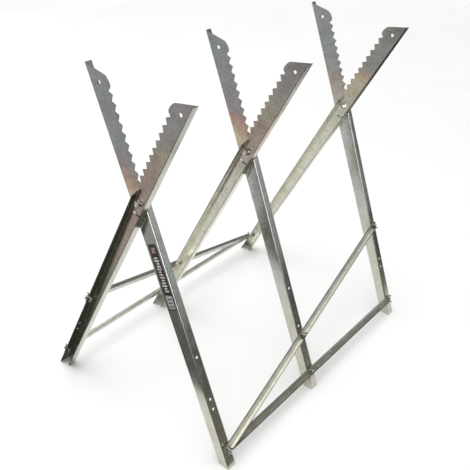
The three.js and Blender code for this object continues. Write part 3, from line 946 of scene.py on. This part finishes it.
def build_label():
    """Plain coloured patches and bars in the place of the real label's print."""
    names = list(LABEL_MATERIALS)
    bm = bmesh.new()
    middle, low, high = LABEL_MIDDLE, LABEL_LOW, LABEL_HIGH
    left, right = middle - LABEL_WIDTH / 2, middle + LABEL_WIDTH / 2
    ground, print_height, overprint_height = 0.30, 0.33, 0.345

    def patch(a, b, c, d, height, colour, radius=0.6):
        count = len(bm.faces)
        panel(bm, a, b, c, d, height, radius)
        bm.faces.ensure_lookup_table()
        for face in bm.faces[count:]:
            face.material_index = names.index(colour)

    patch(left, right, low, high, ground, "dark", 1.5)
    patch(left + 3.5, right - 3.5, high - 20, high - 5, print_height, "red")
    for i in range(3):
        top = high - 7.6 - i * 4.2
        patch(left + 5.5 + i, right - 7.5 + i, top - 1.9, top, overprint_height, "pink", 0.4)
    for i in range(13):
        top = high - 27 - i * 5.9
        half = 5.6 + 1.8 * math.sin(2.1 * i)
        bar = middle + 0.8 * math.cos(1.3 * i)
        colour = "pink" if 4 <= i < 8 else "pale"
        patch(bar - half, bar + half, top - 3.3, top, print_height, colour, 0.5)
    patch(left + 2, right - 2, low + 3, low + 32, print_height, "grey")
    for i in range(3):
        base = low + 6.5 + i * 8
        patch(left + 5, right - 5, base, base + 2.8, overprint_height, "dark", 0.4)
    materials = list(LABEL_MATERIALS.values())
    publish("label", bm, materials, "right_side", leg_frame("right", "front"))


middle_holes = [build_side("left"), build_side("right")]
for side in ("left", "right"):
    for station in STATIONS:
        leg(side, station, middle_holes)
for station in STATIONS:
    build_pivot(station)
build_label()


# ---- stage ----
def glow_material(name):
    """A material that only shines, with its nodes, its links and the node that shines."""
    mat = bpy.data.materials.new(name)
    mat.use_nodes = True
    nodes, links = mat.node_tree.nodes, mat.node_tree.links
    nodes.remove(nodes["Principled BSDF"])
    glow = nodes.new("ShaderNodeEmission")
    links.new(glow.outputs["Emission"], nodes["Material Output"].inputs["Surface"])
    return mat, nodes, links, glow


def seen_only(obj, by_camera):
    """Leaves an object to the camera alone, or to reflections alone."""
    obj.visible_camera = by_camera
    obj.visible_glossy = not by_camera
    obj.visible_diffuse = False
    obj.visible_shadow = False
    obj.visible_transmission = False


def sun(name, towards, strength, spread):
    light = bpy.data.lights.new(name, "SUN")
    light.energy = strength
    light.angle = math.radians(spread)
    lamp = bpy.data.objects.new(name, light)
    bpy.context.scene.collection.objects.link(lamp)
    lamp.rotation_euler = Vector(towards).to_track_quat("-Z", "Y").to_euler()


def area(name, location, target, size, power):
    light = bpy.data.lights.new(name, "AREA")
    light.shape = "RECTANGLE"
    light.size, light.size_y = size
    light.energy = power
    lamp = bpy.data.objects.new(name, light)
    bpy.context.scene.collection.objects.link(lamp)
    lamp.location = location
    lamp.rotation_euler = (Vector(target) - Vector(location)).to_track_quat("-Z", "Y").to_euler()


def stage_object(name, bm, mat):
    mesh = bpy.data.meshes.new(name)
    bm.to_mesh(mesh)
    bm.free()
    mesh.materials.append(mat)
    obj = bpy.data.objects.new(name, mesh)
    bpy.context.scene.collection.objects.link(obj)
    return obj


def quad(name, corners, mat):
    bm = bmesh.new()
    bm.faces.new([bm.verts.new(c) for c in corners])
    return stage_object(name, bm, mat)


def reflection_card(name, start, outward, before, after, depth, height, stops, paler=None):
    """A card lying on the floor that only shiny metal sees. stops: (distance from its edge, colour).
    paler: the x where it starts to turn pale, the x where it has, and the colour there."""
    out = Vector((*outward, 0)).normalized()
    along = Vector((-out.y, out.x, 0))
    edge = Vector((*start, height))
    mat, nodes, links, glow = glow_material(name)
    coords = nodes.new("ShaderNodeTexCoord").outputs["Object"]
    near = edge.dot(out)
    share = share_of(nodes, links, dot_with(nodes, links, coords, out), near, near + depth)
    shade = ramp(nodes, links, share, [(distance / depth, (*colour, 1)) for distance, colour in stops])
    if paler:
        start_x, end_x, level = paler
        fade = share_of(nodes, links, part_of(nodes, links, coords, "X"), start_x, end_x)
        shade = mix(nodes, links, "MIX", fade, shade, grey(level))
    links.new(shade, glow.inputs["Color"])
    corners = [edge - along * before, edge + along * after]
    corners += [corners[1] + out * depth, corners[0] + out * depth]
    seen_only(quad(name, corners, mat), by_camera=False)


def build_floor():
    mat, nodes, links, shader = material("floor_paper", 0.0)
    shader.inputs["Roughness"].default_value = 0.9
    coords = nodes.new("ShaderNodeTexCoord").outputs["Object"]
    links.new(ramp(nodes, links, noise(nodes, links, coords, 3.0, 3.0), [
        (0.3, (0.86, 0.86, 0.855, 1)), (0.7, (0.88, 0.88, 0.875, 1)),
    ]), shader.inputs["Base Color"])
    reach = 14.0
    quad("floor", [(-reach, -reach, 0), (reach, -reach, 0), (reach, reach, 0), (-reach, reach, 0)], mat)
    reflection_card("dark_card_front", (0.07, -0.50), (-0.37, -0.93), 3.0, 0.6, 5.0, 0.002, [
        (0.0, (0.10, 0.11, 0.10)), (5.0, (0.62, 0.62, 0.61)), (0.2, (0.18, 0.185, 0.17)),
        (0.4, (0.25, 0.25, 0.235)), (0.75, (0.44, 0.435, 0.41)), (1.4, (0.62, 0.62, 0.60)),
    ], (-0.33, -0.62, 0.52))
    reflection_card("dark_card_right", (0.268, -0.37), (0.983, -0.18), 1.4, 6.0, 7.0, 0.003, [
        (0.0, (0.20, 0.20, 0.18)), (7.0, (0.12, 0.12, 0.115)), (0.6, (0.17, 0.17, 0.155)),
    ])
    reflection_card("dark_card_rear", (0.44, 1.02), (0.0, 1.0), 0.0, 1.6, 3.0, 0.002, [
        (0.0, (0.62, 0.62, 0.60)), (3.0, (0.04, 0.04, 0.04)), (0.15, (0.20, 0.20, 0.19)),
        (0.5, (0.05, 0.05, 0.05)),
    ])
    reflection_card("dark_card_back", (0.45, 0.45), (0.1, 0.995), 6.5, 0.0, 7.0, 0.004, [
        (0.0, (0.16, 0.16, 0.145)), (7.0, (0.03, 0.03, 0.03)), (0.8, (0.09, 0.09, 0.085)),
        (1.6, (0.04, 0.04, 0.037)),
    ])


def pale_panel(name, corners, brightness):
    """A pale panel that only shiny metal sees."""
    mat, _, _, glow = glow_material(name)
    glow.inputs["Strength"].default_value = brightness
    seen_only(quad(name, corners, mat), by_camera=False)


def build_backdrop():
    """A pale wall all round, there only for views that look past the floor."""
    mat, _, _, glow = glow_material("backdrop_paper")
    glow.inputs["Color"].default_value = grey(0.86)
    ring = circle(0, 0, 13, 36)
    bm = bmesh.new()
    low = [bm.verts.new((x, y, -0.1)) for x, y in ring]
    high = [bm.verts.new((x, y, 9)) for x, y in ring]
    join_rings(bm, low, high)
    seen_only(stage_object("backdrop", bm, mat), by_camera=True)


def build_world():
    world = bpy.data.worlds.new("studio")
    bpy.context.scene.world = world
    world.use_nodes = True
    nodes, links = world.node_tree.nodes, world.node_tree.links
    background = nodes["Background"]
    direction = nodes.new("ShaderNodeTexCoord").outputs["Generated"]
    sky = ramp(nodes, links, part_of(nodes, links, direction, "Z"), [
        (0.0, grey(0.13)), (1.0, grey(0.9)), (0.35, (0.20, 0.205, 0.21, 1)), (0.75, grey(0.26)),
        (0.9, grey(0.8)),
    ])
    window = dot_with(nodes, links, direction, Vector((0.80, 0.58, 0.16)).normalized())
    glow = ramp(nodes, links, window, [(0.945, grey(0)), (0.99, (0.46, 0.49, 0.50, 1))])
    links.new(mix(nodes, links, "ADD", 1.0, sky, glow), background.inputs["Color"])
    background.inputs["Strength"].default_value = 1.0


def build_stage():
    bpy.context.scene.view_settings.view_transform = "Standard"
    build_floor()
    build_backdrop()
    pale_panel("side_panel", [
        (-1.53, 3.03, 0.35), (-3.07, 1.45, 0.35), (-3.07, 1.45, 1.15), (-1.53, 3.03, 1.15),
    ], 0.8)
    pale_panel("floor_panel", [
        (-0.27, -0.28, 0.006), (-0.27, 0.6, 0.006), (-2.4, 0.6, 0.006), (-0.66, -0.97, 0.006),
    ], 0.85)
    build_world()
    sun("overhead", (0.15, 0.1, -1), 2.15, 60)
    area("softbox_front_right", (1.7, -2.0, 0.75), (0, 0, 0.4), (0.9, 1.1), 16)
    area("softbox_left", (-2.4, -0.6, 1.9), (0, 0, 0.3), (1.2, 1.6), 14)


CAMERA_AT = (0.77984, -1.12675, 1.16935)
CAMERA_TURN = (35.64, 35.13, 5.2)
CAMERA_LENS = 50.83
CAMERA_SHIFT = (-0.0022, 0.0785)


def build_camera():
    """Above and to the right of the front cross, turned a little about its own axis."""
    azimuth, elevation, roll = (math.radians(angle) for angle in CAMERA_TURN)
    back = Vector((
        math.sin(azimuth) * math.cos(elevation), -math.cos(azimuth) * math.cos(elevation), math.sin(elevation),
    ))
    level = Vector((math.cos(azimuth), math.sin(azimuth), 0))
    upward = back.cross(level)
    right = level * math.cos(roll) + upward * math.sin(roll)
    up = upward * math.cos(roll) - level * math.sin(roll)
    data = bpy.data.cameras.new("camera")
    data.lens = CAMERA_LENS
    data.sensor_width = 36
    data.shift_x, data.shift_y = CAMERA_SHIFT
    camera = bpy.data.objects.new("camera", data)
    bpy.context.scene.collection.objects.link(camera)
    camera.matrix_world = Matrix((
        (right.x, up.x, back.x, CAMERA_AT[0]),
        (right.y, up.y, back.y, CAMERA_AT[1]),
        (right.z, up.z, back.z, CAMERA_AT[2]),
        (0, 0, 0, 1),
    ))
    bpy.context.scene.camera = camera


build_stage()
build_camera()
